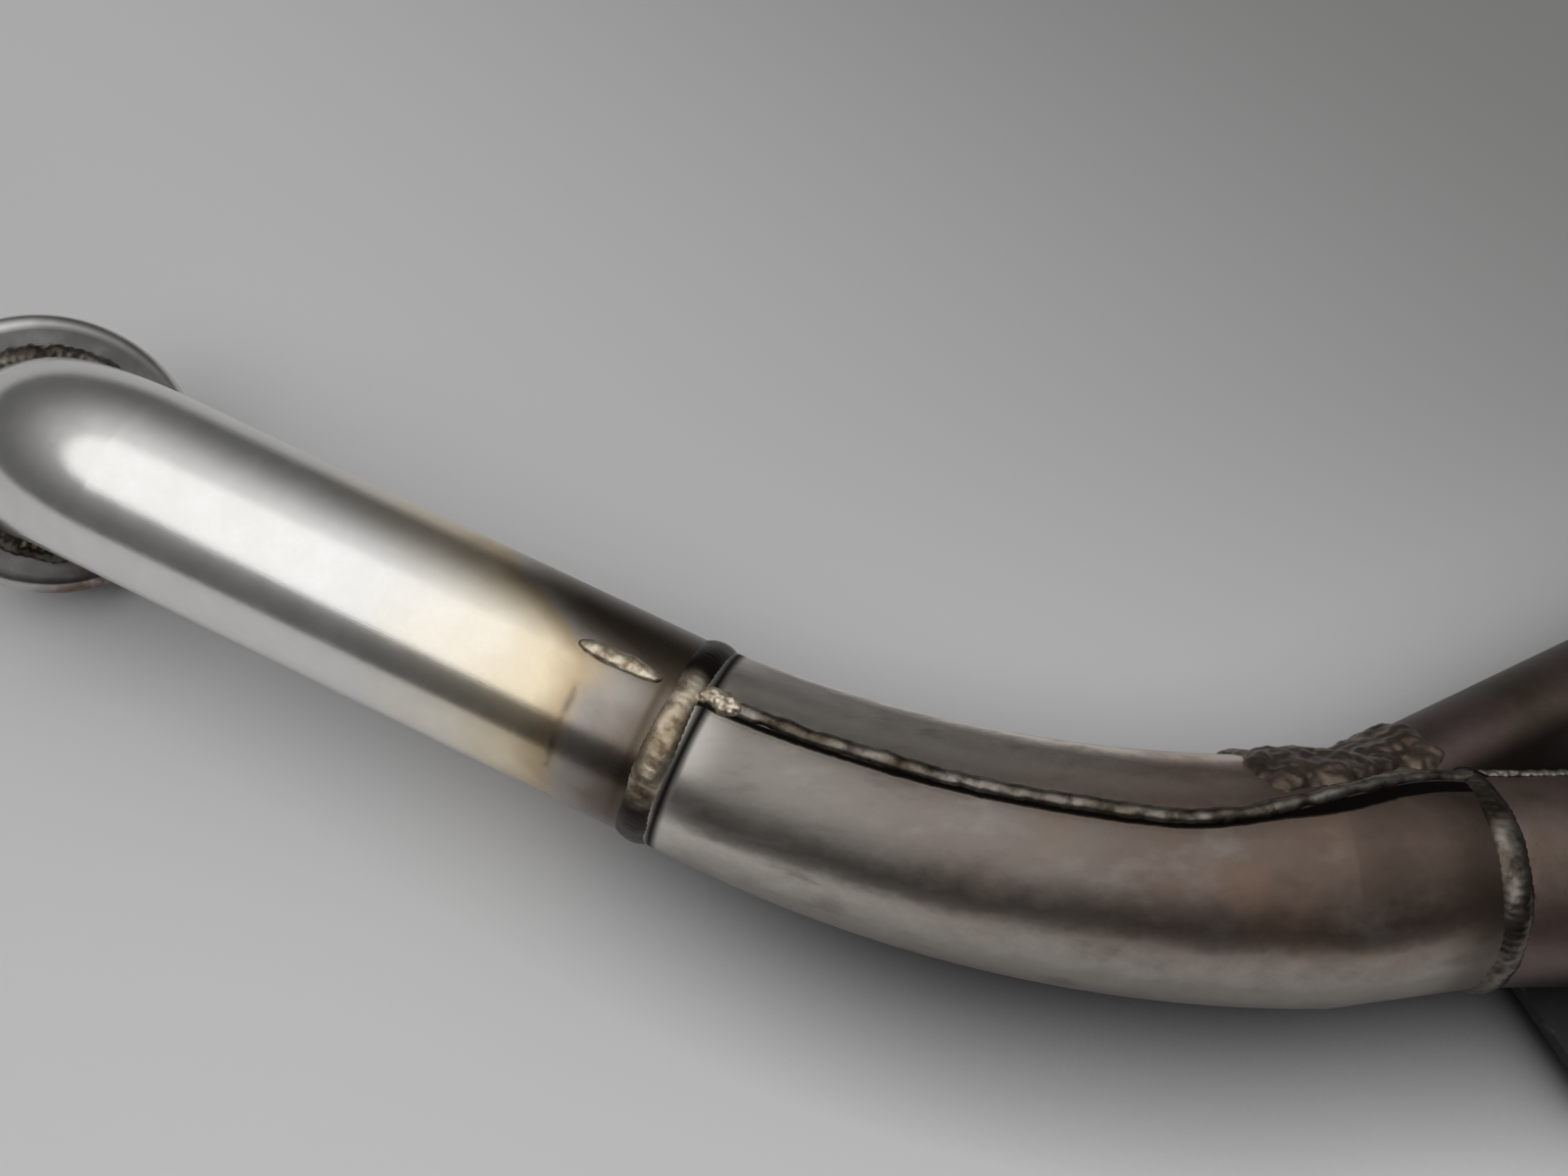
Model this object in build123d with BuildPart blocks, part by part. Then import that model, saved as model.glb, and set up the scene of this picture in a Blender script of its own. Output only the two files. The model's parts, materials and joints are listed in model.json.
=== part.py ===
from build123d import *
from math import asin, cos, degrees, radians, sin, sqrt, tan
import os

# Exhaust header pipe, in millimetres.
# The gas comes in at the port flange, runs down a bent inlet pipe into a pressed
# two-shell collector, and leaves it through a front and a rear branch pipe.
# It is drawn lying on the bench: +Z is up, the bench is Z = 0, and +X runs along the front branch.

# Tube stock
pipe_od = 38.1
pipe_wall = 1.5
rear_od = 31.8
rear_wall = 1.5

# Collector
collector_swell = 3.15
collector_wall = 1.6
collector_bend_radius = 255.0
collector_straight = 0.5
collector_flare = 1.6
neck_length = 27.0

# Inlet pipe
inlet_plan_turn = 25.6
inlet_straight = 114.0
elbow_radius = 38.0
port_plan_turn = 14.4
port_droop = 47.3
port_straight = 4.0

# Port flange
flange_od = 58.6
flange_thickness = 9.0
flange_socket_gap = 0.05
flange_lip = 3.0
flange_edge_round = 3.4
flange_face_chamfer = 0.8

# Branches
front_length = 83.0
rear_length = 128.0
rear_plan_turn = 24.4
rear_root_from_vertex = 53.0
rear_root_height = 19.6

# Weld beads
seam_bead_radius = 1.9
seam_bead_height = 1.2
ring_bead_height = 1.0
ring_bead_width = 7.0
port_bead_leg = 3.4
port_bead_bulge = 2.1
front_seam_bead_radius = 1.3
front_seam_angle = 52.0
front_seam_sink = 0.45
front_seam_length = 34.0
seam_side_step = 14.0
seam_step_length = 52.0
seam_step_before_end = 4.3
patch_thickness = 1.3
patch_lead = 10.0
patch_end = 33.0
patch_fade = 4.0
patch_lip = 0.1
weld_gap = 0.1

# Plug weld on the inlet pipe, and the blob that starts the long seam
plug_length = 17.0
plug_width = 5.0
plug_height = 1.5
plug_from_mouth = 13.0
plug_angle = 7.0
seam_lead_in = 9.5
start_blob_from_mouth = 6.5
start_blob_length = 9.0
start_blob_width = 6.0
start_blob_height = 2.2

# Mounting tab
tab_thickness = 3.0
tab_hole_d = 8.5
tab_end_radius = 10.0
tab_reach = 33.0
tab_root_width = 36.0
tab_from_ring = 10.0
tab_height = 4.5
tab_root_side = 6.0
tab_root_depth = 0.5
tab_eye_ahead = 20.9
tab_bead_radius = 2.2

pipe_r = pipe_od / 2
rear_r = rear_od / 2
collector_r = pipe_r + collector_swell
bore_r = pipe_r - pipe_wall
rear_bore_r = rear_r - rear_wall

collector_height = collector_r + seam_bead_height
up = Vector(0, 0, 1)


def heading(plan, rise):
    """Unit vector at a plan angle from +X and a rise above the bench, in degrees."""
    flat = cos(radians(rise))
    return Vector(cos(radians(plan)) * flat, sin(radians(plan)) * flat, sin(radians(rise)))


# Lay of the inlet: the pipe rises from the collector until the flange's rim just stands on the bench.
port_heading = heading(180 - inlet_plan_turn - port_plan_turn, -port_droop)
front_heading = heading(0, 0)
flange_r = flange_od / 2
flange_reach = port_straight + flange_thickness
rim_drop = max(
    flange_reach * sin(radians(port_droop)) + (flange_r - flange_face_chamfer) * cos(radians(port_droop)),
    (flange_reach - flange_face_chamfer) * sin(radians(port_droop)) + flange_r * cos(radians(port_droop)),
)
inlet_rise = 0.0
lay_trials = 40
for trial in range(lay_trials):
    inlet_heading = heading(180 - inlet_plan_turn, inlet_rise)
    bend_angle = radians(180 - inlet_heading.get_angle(front_heading))
    bend_tangent = collector_bend_radius * tan(bend_angle / 2)
    elbow_angle = radians(inlet_heading.get_angle(port_heading))
    elbow_tangent = elbow_radius * tan(elbow_angle / 2)
    inlet_reach = bend_tangent + inlet_straight + elbow_tangent
    corner_height = rim_drop + elbow_tangent * sin(radians(port_droop))
    inlet_rise = degrees(asin((corner_height - collector_height) / inlet_reach))

# Key points of the centrelines
vertex = Vector(0, 0, collector_height)
mouth_centre = vertex + inlet_heading * bend_tangent
bend_end = vertex + front_heading * bend_tangent
elbow_corner = vertex + inlet_heading * inlet_reach
port_seat = elbow_corner + port_heading * (elbow_tangent + port_straight)
tube_stop = port_seat + port_heading * (flange_thickness - flange_lip)
port_face = port_seat + port_heading * flange_thickness
neck_start = bend_end + front_heading * collector_straight
neck_end = neck_start + front_heading * neck_length
front_end = neck_end + front_heading * front_length
rear_fall = asin((rear_root_height - rear_r) / rear_length)
rear_heading = heading(rear_plan_turn, -degrees(rear_fall))
rear_root = Vector(rear_root_from_vertex, 0, rear_root_height)
rear_end = rear_root + rear_heading * rear_length
rear_end = Vector(rear_end.X, rear_end.Y, rear_r * cos(rear_fall))
rear_heading = (rear_end - rear_root).normalized()

# The collector's bend lies in the plane of the inlet and the front branch.
bend_in = inlet_heading * -1
bend_out = (front_heading - bend_in * cos(bend_angle)).normalized()


def bend_point(share):
    """Centre and heading of the collector at a share, 0 to 1, of its bend."""
    turn = bend_angle * share
    centre = mouth_centre + bend_in * (collector_bend_radius * sin(turn))
    centre = centre + bend_out * (collector_bend_radius * (1 - cos(turn)))
    return centre, bend_in * cos(turn) + bend_out * sin(turn)


def section_plane(centre, direction):
    """Plane square to the direction, with its Y axis as near to upright as it can be."""
    side = direction.cross(up) * -1
    return Plane(origin=centre, x_dir=side, z_dir=direction)


bend_sections = 5
neck_steps = 4
edge_steps = 8


def bend_radius(share):
    """Outer radius of the collector at a share of its bend: it flares from the inlet pipe's own radius."""
    return pipe_r + collector_swell * (1 - (1 - share) ** collector_flare)


def collector_sections(inset):
    """Planes and radii of the collector's outline, drawn in by the inset."""
    stations = []
    for step in range(bend_sections + 1):
        share = step / bend_sections
        centre, direction = bend_point(share)
        stations.append((section_plane(centre, direction), bend_radius(share) - inset))
    return stations


def skin(stations):
    """Solid through round sections."""
    with BuildPart() as body:
        for plane, radius in stations:
            with BuildSketch(plane):
                Circle(radius)
        loft()
    return body.part


def rod(start, end, radius):
    """Round bar from one point to another."""
    run = end - start
    with BuildPart() as body:
        with BuildSketch(Plane(origin=start, z_dir=run.normalized())):
            Circle(radius)
        extrude(amount=run.length)
    return body.part


def collector_core(inset, mouth_extra, neck_extra):
    """The collector as one filled form, drawn in by the inset and run on past its two ends."""
    bend = skin(collector_sections(inset))
    flat = rod(bend_end, neck_start, collector_r - inset)
    neck_sections = [
        (Plane(origin=neck_start, z_dir=front_heading), collector_r - inset),
        (Plane(origin=neck_end, z_dir=front_heading), pipe_r - inset),
    ]
    neck = skin(neck_sections)
    core = bend + flat + neck
    if mouth_extra > 0:
        core = core + rod(mouth_centre + inlet_heading * mouth_extra, mouth_centre, pipe_r - inset)
    if neck_extra > 0:
        core = core + rod(neck_end, neck_end + front_heading * neck_extra, pipe_r - inset)
    return core


margin = 2.0
collector_outer = collector_core(0, 0, 0)
collector_inner = collector_core(collector_wall, margin, margin)
front_outer = rod(neck_end, front_end + front_heading * margin, pipe_r)
rear_outer = rod(rear_root, rear_end, rear_r)
rear_bore = rod(rear_root, rear_end + rear_heading * margin, rear_bore_r)

# Inlet pipe: a straight, a 1D elbow and the short end that sits in the flange
with BuildPart() as inlet_pipe:
    with BuildLine() as inlet_path:
        FilletPolyline(mouth_centre, elbow_corner, tube_stop, radius=elbow_radius)
    with BuildSketch(Plane(origin=mouth_centre, z_dir=inlet_heading)):
        Circle(pipe_r)
        Circle(bore_r, mode=Mode.SUBTRACT)
    sweep(path=inlet_path.wire())
inlet_pipe.part.label = "inlet_pipe"

# Port flange: a turned ring with a rounded front edge and a lip that stops the tube
flange_plane = Plane(origin=port_seat, z_dir=port_heading)
with BuildPart() as port_flange:
    with BuildSketch(flange_plane):
        Circle(flange_r)
    extrude(amount=flange_thickness)
    front_edge = port_flange.edges().filter_by(GeomType.CIRCLE).sort_by(Axis(port_seat, port_heading))[0]
    fillet(front_edge, radius=flange_edge_round)
    face_edge = port_flange.edges().filter_by(GeomType.CIRCLE).sort_by(Axis(port_seat, port_heading))[-1]
    chamfer(face_edge, length=flange_face_chamfer)
    with BuildSketch(flange_plane):
        Circle(pipe_r + flange_socket_gap)
    extrude(amount=flange_thickness - flange_lip, mode=Mode.SUBTRACT)
    with BuildSketch(flange_plane):
        Circle(bore_r)
    extrude(amount=flange_thickness, mode=Mode.SUBTRACT)
port_flange.part.label = "port_flange"


def ring_weld(centre, direction):
    """Ring weld over the butt joint of a tube and the collector."""
    plane = Plane(origin=centre, x_dir=direction, z_dir=direction.cross(up))
    side = ring_bead_width / 2
    with BuildPart() as ring:
        with BuildSketch(plane):
            with BuildLine():
                ThreePointArc((-side, pipe_r), (0, pipe_r + ring_bead_height), (side, pipe_r))
                Line((side, pipe_r), (-side, pipe_r))
            make_face()
        revolve(axis=Axis(centre, direction))
    return ring.part


def corner_weld(centre, direction, leg, bulge):
    """Ring weld in the corner between the inlet pipe and the flange's front face."""
    plane = Plane(origin=centre, x_dir=direction, z_dir=direction.cross(up))
    with BuildPart() as ring:
        with BuildSketch(plane):
            with BuildLine():
                ThreePointArc((0, pipe_r + leg), (-bulge, pipe_r + bulge), (-leg, pipe_r))
                Line((-leg, pipe_r), (0, pipe_r))
                Line((0, pipe_r), (0, pipe_r + leg))
            make_face()
        revolve(axis=Axis(centre, direction))
    return ring.part


def seam_drift(x):
    """How far to the rear the crown's seam has stepped aside at a place along X."""
    share = (x - neck_end.X + seam_step_before_end) / seam_step_length + 1
    share = min(max(share, 0), 1)
    return seam_side_step * share**2 * (3 - 2 * share)


def seam_foot(centre, direction, reach, sign):
    """Point on the crown (sign 1) or the belly (sign -1), a reach from the collector's centre."""
    aside = seam_drift(centre.X) if sign > 0 else 0
    frame = section_plane(centre, direction)
    return centre + frame.x_dir * aside + frame.y_dir * (sign * sqrt(reach**2 - aside**2))


def seam_bead(sign):
    """Bead along the collector's crown (sign 1) or belly (sign -1); the crown's one steps aside to the rear."""
    sink = seam_bead_radius - seam_bead_height
    stations = []
    for step in range(bend_sections + 1):
        share = lead_share + (1 - lead_share) * step / bend_sections
        centre, direction = bend_point(share)
        foot = seam_foot(centre, direction, bend_radius(share) - sink, sign)
        stations.append((section_plane(foot, direction), seam_bead_radius))
    corner = seam_foot(neck_start, front_heading, collector_r - sink, sign)
    run = skin(stations) + rod(foot, corner, seam_bead_radius)
    for step in range(1, neck_steps + 1):
        share = step / neck_steps
        reach = collector_r - collector_swell * share - sink
        following = seam_foot(neck_start + (neck_end - neck_start) * share, front_heading, reach, sign)
        run = run + Location(corner) * Sphere(seam_bead_radius) + rod(corner, following, seam_bead_radius)
        corner = following
    return run


def blob(centre, direction, normal, length, width, height):
    """Low rounded weld on a surface: a squashed ball that is sunk to its waist."""
    ball = scale(Sphere(1.0, mode=Mode.PRIVATE), by=(length / 2, width / 2, height), mode=Mode.PRIVATE)
    return Plane(origin=centre, x_dir=direction, z_dir=normal) * ball


# Collector: one pressed skin, divided along its crown and belly into two shells.
# The division runs straight on to the end of the neck, and only the bead on the crown steps aside.
plan_line = []
for step in range(bend_sections + 1):
    centre, direction = bend_point(step / bend_sections)
    plan_line.append((centre.X, centre.Y))
far_back = 120.0
mouth_beyond = mouth_centre + inlet_heading * margin
region_top = collector_height * 3
with BuildPart() as rear_side:
    with BuildSketch():
        with BuildLine():
            Line((mouth_beyond.X, mouth_beyond.Y), plan_line[0])
            Spline(*plan_line)
            Line(plan_line[-1], (neck_end.X + margin, neck_end.Y))
            Line((neck_end.X + margin, neck_end.Y), (neck_end.X + margin, far_back))
            Line((neck_end.X + margin, far_back), (mouth_beyond.X, far_back))
            Line((mouth_beyond.X, far_back), (mouth_beyond.X, mouth_beyond.Y))
        make_face()
    extrude(amount=region_top)

with BuildPart() as collector_front_shell:
    add(collector_outer)
    add(collector_inner, mode=Mode.SUBTRACT)
    add(rear_side.part, mode=Mode.SUBTRACT)
collector_front_shell.part.label = "collector_front_shell"

with BuildPart() as collector_rear_shell:
    add(collector_outer)
    add(collector_inner, mode=Mode.SUBTRACT)
    add(rear_side.part, mode=Mode.INTERSECT)
    add(rear_bore, mode=Mode.SUBTRACT)
collector_rear_shell.part.label = "collector_rear_shell"

# Branch pipes: the front one butts against the neck, the rear one is notched over both.
# The rear bore is cut through the collector and the front pipe, so the branches share one open crotch.
with BuildPart() as front_branch_pipe:
    with BuildSketch(Plane(origin=neck_end, z_dir=front_heading)):
        Circle(pipe_r)
        Circle(bore_r, mode=Mode.SUBTRACT)
    extrude(amount=front_length)
    add(rear_bore, mode=Mode.SUBTRACT)
front_branch_pipe.part.label = "front_branch_pipe"

with BuildPart() as rear_branch_pipe:
    add(rear_outer)
    add(rear_bore, mode=Mode.SUBTRACT)
    add(collector_outer, mode=Mode.SUBTRACT)
    add(front_outer, mode=Mode.SUBTRACT)
rear_branch_pipe.part.label = "rear_branch_pipe"

# Ring welds
with BuildPart() as port_flange_weld:
    add(corner_weld(port_seat, port_heading, port_bead_leg, port_bead_bulge))
port_flange_weld.part.label = "port_flange_weld"

with BuildPart() as inlet_ring_weld:
    add(ring_weld(mouth_centre, inlet_heading))
    add(collector_outer, mode=Mode.SUBTRACT)
inlet_ring_weld.part.label = "inlet_ring_weld"

with BuildPart() as front_ring_weld:
    add(ring_weld(neck_end, front_heading))
    add(collector_outer, mode=Mode.SUBTRACT)
    add(rear_outer, mode=Mode.SUBTRACT)
front_ring_weld.part.label = "front_ring_weld"

# Long seams: beads along the crown and the belly of the collector
lead_share = seam_lead_in / (collector_bend_radius * bend_angle)
seam_stop = neck_end - front_heading * (ring_bead_width / 2)
crown_bead = seam_bead(1)
belly_bead = seam_bead(-1)

with BuildPart() as collector_top_seam_weld:
    add(crown_bead)
    add(collector_outer, mode=Mode.SUBTRACT)
    split(bisect_by=Plane(origin=seam_stop, z_dir=front_heading), keep=Keep.BOTTOM)
collector_top_seam_weld.part.label = "collector_top_seam_weld"

with BuildPart() as collector_bottom_seam_weld:
    add(belly_bead)
    add(collector_outer, mode=Mode.SUBTRACT)
    split(bisect_by=Plane(origin=seam_stop, z_dir=front_heading), keep=Keep.BOTTOM)
collector_bottom_seam_weld.part.label = "collector_bottom_seam_weld"

# Patch of weld that joins the rear branch to the collector
patch_start = neck_start - front_heading * patch_lead
patch_stop = rear_root + rear_heading * patch_end
patch_tail = patch_stop + rear_heading * patch_fade
patch_stations = [
    (Plane(origin=patch_start, x_dir=(0, 1, 0), z_dir=front_heading), collector_r + patch_thickness),
    (section_plane(patch_stop, rear_heading), rear_r + patch_thickness),
]
tail_stations = [
    (section_plane(patch_stop, rear_heading), rear_r + patch_thickness),
    (section_plane(patch_tail, rear_heading), rear_r + patch_lip),
]
seam_clear = (seam_bead_radius + weld_gap) * sqrt(1 + (1.5 * seam_side_step / seam_step_length) ** 2)
patch_low_x = patch_start.X - margin
patch_high_x = neck_end.X + margin
patch_edge = []
for step in range(edge_steps + 1):
    edge_x = patch_low_x + (patch_high_x - patch_low_x) * step / edge_steps
    edge_bow = max(bend_end.X - edge_x, 0) ** 2 / (2 * collector_bend_radius)
    patch_edge.append((edge_x, seam_drift(edge_x) + seam_clear + edge_bow))
with BuildPart() as rear_branch_weld:
    add(skin(patch_stations))
    add(skin(tail_stations))
    with BuildSketch(Plane.XY.offset(seam_bead_height)):
        with BuildLine():
            Polyline(*patch_edge, (patch_high_x, far_back), (patch_low_x, far_back), close=True)
        make_face()
    extrude(amount=region_top, mode=Mode.INTERSECT)
    add(collector_outer, mode=Mode.SUBTRACT)
    add(rear_outer, mode=Mode.SUBTRACT)
    add(front_outer, mode=Mode.SUBTRACT)
    add(front_ring_weld.part, mode=Mode.SUBTRACT)
rear_branch_weld.part.label = "rear_branch_weld"

# Plug weld on the inlet pipe, next to the ring weld
plug_centre = mouth_centre + inlet_heading * plug_from_mouth
plug_frame = section_plane(plug_centre, bend_in)
plug_normal = plug_frame.y_dir * cos(radians(plug_angle)) + plug_frame.x_dir * sin(radians(plug_angle))
inlet_outer = rod(mouth_centre, elbow_corner, pipe_r)
with BuildPart() as inlet_plug_weld:
    add(blob(plug_centre + plug_normal * pipe_r, bend_in, plug_normal, plug_length, plug_width, plug_height))
    add(inlet_outer, mode=Mode.SUBTRACT)
    add(inlet_ring_weld.part, mode=Mode.SUBTRACT)
inlet_plug_weld.part.label = "inlet_plug_weld"

# Blob that starts the long seam, just behind the collector's mouth
start_share = start_blob_from_mouth / (collector_bend_radius * bend_angle)
start_centre, start_heading = bend_point(start_share)
start_normal = section_plane(start_centre, start_heading).y_dir
start_foot = start_centre + start_normal * bend_radius(start_share)
with BuildPart() as seam_start_weld:
    add(blob(start_foot, start_heading, start_normal, start_blob_length, start_blob_width, start_blob_height))
    add(collector_outer, mode=Mode.SUBTRACT)
    add(inlet_ring_weld.part, mode=Mode.SUBTRACT)
    add(crown_bead, mode=Mode.SUBTRACT)
seam_start_weld.part.label = "seam_start_weld"

# Seam bead of the front branch, on its rear side
front_seam_out = Vector(0, sin(radians(front_seam_angle)), cos(radians(front_seam_angle)))
front_seam_foot = front_seam_out * (pipe_r - front_seam_sink)
front_seam_root = neck_end + front_heading * (ring_bead_width / 2 - margin) + front_seam_foot
with BuildPart() as front_branch_seam_weld:
    add(rod(front_seam_root, front_seam_root + front_heading * front_seam_length, front_seam_bead_radius))
    add(front_outer, mode=Mode.SUBTRACT)
    add(rear_outer, mode=Mode.SUBTRACT)
    add(front_ring_weld.part, mode=Mode.SUBTRACT)
front_branch_seam_weld.part.label = "front_branch_seam_weld"

# Mounting tab: a flat plate with a bolt hole, notched under the front branch
tab_root_x = neck_end.X + tab_from_ring
tab_eye = (tab_root_x + tab_eye_ahead, -tab_root_side - tab_reach + tab_end_radius)
with BuildPart() as mounting_tab:
    with BuildSketch(Plane.XY.offset(tab_height)):
        with Locations((tab_root_x + tab_root_width / 2, -tab_root_side)):
            Rectangle(tab_root_width, tab_root_depth)
        with Locations(tab_eye):
            Circle(tab_end_radius)
        make_hull()
        with Locations(tab_eye):
            Circle(tab_hole_d / 2, mode=Mode.SUBTRACT)
    extrude(amount=tab_thickness)
    add(front_outer, mode=Mode.SUBTRACT)
mounting_tab.part.label = "mounting_tab"

tab_top = tab_height + tab_thickness
tab_drop = collector_height - tab_top - tab_bead_radius / 2
tab_bead_side = sqrt((pipe_r + tab_bead_radius / 3) ** 2 - tab_drop**2)
tab_bead_start = Vector(tab_root_x + tab_bead_radius, -tab_bead_side, collector_height - tab_drop)
tab_bead_length = tab_root_width - 3 * tab_bead_radius
with BuildPart() as mounting_tab_weld:
    add(rod(tab_bead_start, tab_bead_start + front_heading * tab_bead_length, tab_bead_radius))
    add(front_outer, mode=Mode.SUBTRACT)
    add(mounting_tab.part, mode=Mode.SUBTRACT)
mounting_tab_weld.part.label = "mounting_tab_weld"

# The finished pipe stands with the middle of its footprint on the origin
pieces = (
    port_flange,
    port_flange_weld,
    inlet_pipe,
    inlet_plug_weld,
    inlet_ring_weld,
    collector_front_shell,
    collector_rear_shell,
    seam_start_weld,
    collector_top_seam_weld,
    collector_bottom_seam_weld,
    front_ring_weld,
    front_branch_pipe,
    front_branch_seam_weld,
    rear_branch_pipe,
    rear_branch_weld,
    mounting_tab,
    mounting_tab_weld,
)
boxes = [piece.part.bounding_box() for piece in pieces]
low = Vector(*[min(getattr(box.min, side) for box in boxes) for side in "XYZ"])
high = Vector(*[max(getattr(box.max, side) for box in boxes) for side in "XYZ"])
shift = Location((-(low.X + high.X) / 2, -(low.Y + high.Y) / 2, -low.Z))

os.makedirs("parts", exist_ok=True)
for piece in pieces:
    label = piece.part.label
    placed = shift * piece.part
    placed.label = label
    export_step(placed, f"parts/{label}.step")
    print(label, "solids:", len(placed.solids()))
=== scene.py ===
# %% [markdown]
# # An exhaust header pipe, dressed for its picture
#
# The header lies on a pale table. A polished inlet pipe comes in from a round port flange on the
# left, is welded to a pressed collector in the middle, and leaves through two darker branch pipes
# on the right. The metal parts come from the frame at their real size. What the frame can't hold
# is the finish: polish, brushing, heat colours, soot, and the lumpy skin of the weld beads.
#
# The first cell loads the frame.

# %% Load the frame
import json
import math
import random

import bpy
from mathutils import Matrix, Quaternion, Vector, noise


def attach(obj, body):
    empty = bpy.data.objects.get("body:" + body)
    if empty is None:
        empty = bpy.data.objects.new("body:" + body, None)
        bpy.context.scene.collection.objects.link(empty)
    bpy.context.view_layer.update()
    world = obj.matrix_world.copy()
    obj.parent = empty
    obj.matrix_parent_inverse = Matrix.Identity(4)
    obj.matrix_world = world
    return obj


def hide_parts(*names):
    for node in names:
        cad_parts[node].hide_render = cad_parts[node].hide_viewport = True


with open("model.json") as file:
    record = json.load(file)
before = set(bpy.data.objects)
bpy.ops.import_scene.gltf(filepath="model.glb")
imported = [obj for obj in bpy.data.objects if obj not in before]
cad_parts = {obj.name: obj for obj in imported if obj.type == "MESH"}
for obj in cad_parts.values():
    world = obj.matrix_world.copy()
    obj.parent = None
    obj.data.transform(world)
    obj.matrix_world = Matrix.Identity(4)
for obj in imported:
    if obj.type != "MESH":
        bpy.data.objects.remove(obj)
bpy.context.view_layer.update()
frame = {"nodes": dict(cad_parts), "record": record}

# %% [markdown]
# ## Where the tubes run
#
# Every finish here follows a tube: heat colour fades with the distance from a weld, and brushing
# runs round a pipe. So the first step is to know the tubes' centrelines. The outlets and the port
# are mounts of the part, and the frame gives their places and directions. The lengths between
# them are a few driving sizes.

# %% Sizes and centrelines
MM = 0.001
UP = Vector((0, 0, 1))
PIPE_R = 19.05 * MM
REAR_R = 15.9 * MM
REAR_LENGTH = 128 * MM
COLLECTOR_R = 22.2 * MM
BEND_R = 255 * MM
BEND_STRAIGHT = 0.5 * MM
NECK_LENGTH = 27 * MM
FRONT_LENGTH = 83 * MM
INLET_TURN = math.radians(25.6)
INLET_RISE = math.radians(5.9261)

mounts = {mount["name"]: mount for mount in frame["record"]["mounts"]}
port_face = Vector(mounts["port_bore"]["pos_m"])
port_heading = Vector(mounts["port_bore"]["axis"]).normalized()
front_end = Vector(mounts["front_outlet_bore"]["pos_m"])
rear_end = Vector(mounts["rear_outlet_bore"]["pos_m"])
rear_heading = Vector(mounts["rear_outlet_bore"]["axis"]).normalized()
rear_root = rear_end - rear_heading * REAR_LENGTH
front_heading = Vector((1, 0, 0))
inlet_heading = Vector((
    -math.cos(INLET_TURN) * math.cos(INLET_RISE),
    math.sin(INLET_TURN) * math.cos(INLET_RISE),
    math.sin(INLET_RISE),
))
neck_end = front_end - front_heading * FRONT_LENGTH
neck_start = neck_end - front_heading * NECK_LENGTH
bend_end = neck_start - front_heading * BEND_STRAIGHT
bend_turn = math.pi - inlet_heading.angle(front_heading)
bend_tangent = BEND_R * math.tan(bend_turn / 2)
corner = bend_end - front_heading * bend_tangent
mouth = corner + inlet_heading * bend_tangent
rearward = Vector((0.43, 0.90, 0)).normalized()
print("collector mouth at", tuple(round(value / MM, 1) for value in mouth), "mm")

# %% [markdown]
# ## Shader sums in plain Python
#
# A finish is a sum of simple signals: a distance, a patch of noise, a ramp of colours. Wiring the
# nodes one by one hides that sum, so a small class wraps a socket. Adding or multiplying two
# wrapped sockets makes the Math node, and one method makes every other node.

# %% A socket that can be added and multiplied
class Signal:
    """One output of a shader tree. Sums on it make Math nodes."""

    def __init__(self, tree, socket=None):
        self.tree = tree
        self.socket = socket

    def node(self, kind, settings=None, outlet=0, **values):
        """Any node: its settings, then values or links of its sockets (i0 is the first)."""
        made = self.tree.nodes.new(kind)
        for key, value in (settings or {}).items():
            if key == "stops":
                ramp = made.color_ramp
                while len(ramp.elements) < len(value):
                    ramp.elements.new(1.0)
                for element, (place, colour) in zip(ramp.elements, value):
                    element.position = place
                    element.color = (*colour, 1.0)
            else:
                setattr(made, key, value)
        for key, value in values.items():
            if key[0] == "i" and key[1:].isdigit():
                inlet = made.inputs[int(key[1:])]
            else:
                inlet = made.inputs[key.replace("_", " ")]
            if isinstance(value, Signal):
                self.tree.links.new(value.socket, inlet)
            else:
                inlet.default_value = value
        return Signal(self.tree, made.outputs[outlet])

    def sum(self, operation, second=0.0):
        return self.node("ShaderNodeMath", {"operation": operation}, i0=self, i1=second)

    def vector(self, operation, second=(0, 0, 0), outlet="Vector"):
        settings = {"operation": operation}
        return self.node("ShaderNodeVectorMath", settings, outlet, i0=self, i1=tuple(second))

    def part(self, index):
        """X, Y or Z of this vector, as 0, 1 or 2."""
        return self.node("ShaderNodeSeparateXYZ", outlet=index, Vector=self)

    def __add__(self, other):
        return self.sum("ADD", other)

    __radd__ = __add__

    def __sub__(self, other):
        return self.sum("SUBTRACT", other)

    def __rsub__(self, other):
        return self * -1.0 + other

    def __mul__(self, other):
        return self.sum("MULTIPLY", other)

    def __truediv__(self, other):
        return self.sum("DIVIDE", other)

    def __pow__(self, other):
        return self.sum("POWER", other)

    def largest(self, other):
        return self.sum("MAXIMUM", other)

    def smallest(self, other):
        return self.sum("MINIMUM", other)

    def step(self, low, high):
        """0 at low, 1 at high, and a smooth change between them, whichever is the larger."""
        if low > high:
            return 1 - self.step(high, low)
        settings = {"interpolation_type": "SMOOTHSTEP"}
        return self.node("ShaderNodeMapRange", settings, Value=self, From_Min=low, From_Max=high)

    def near(self, centre, width):
        """1 at the centre, falling smoothly to 0 at that distance on both sides."""
        return (self - centre).sum("ABSOLUTE").step(width, 0.0)

    def ramp(self, *stops):
        """A colour for each value, blended between the stops."""
        return self.node("ShaderNodeValToRGB", {"stops": stops}, Fac=self)

    def mix(self, low, high):
        """A colour between two, by this signal."""
        low, high = paint(low), paint(high)
        return self.node("ShaderNodeMix", {"data_type": "RGBA"}, outlet=2, i0=self, i6=low, i7=high)

    def times(self, other):
        """This colour multiplied by another."""
        settings = {"data_type": "RGBA", "blend_type": "MULTIPLY"}
        return self.node("ShaderNodeMix", settings, outlet=2, i0=1.0, i6=self, i7=paint(other))


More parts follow.
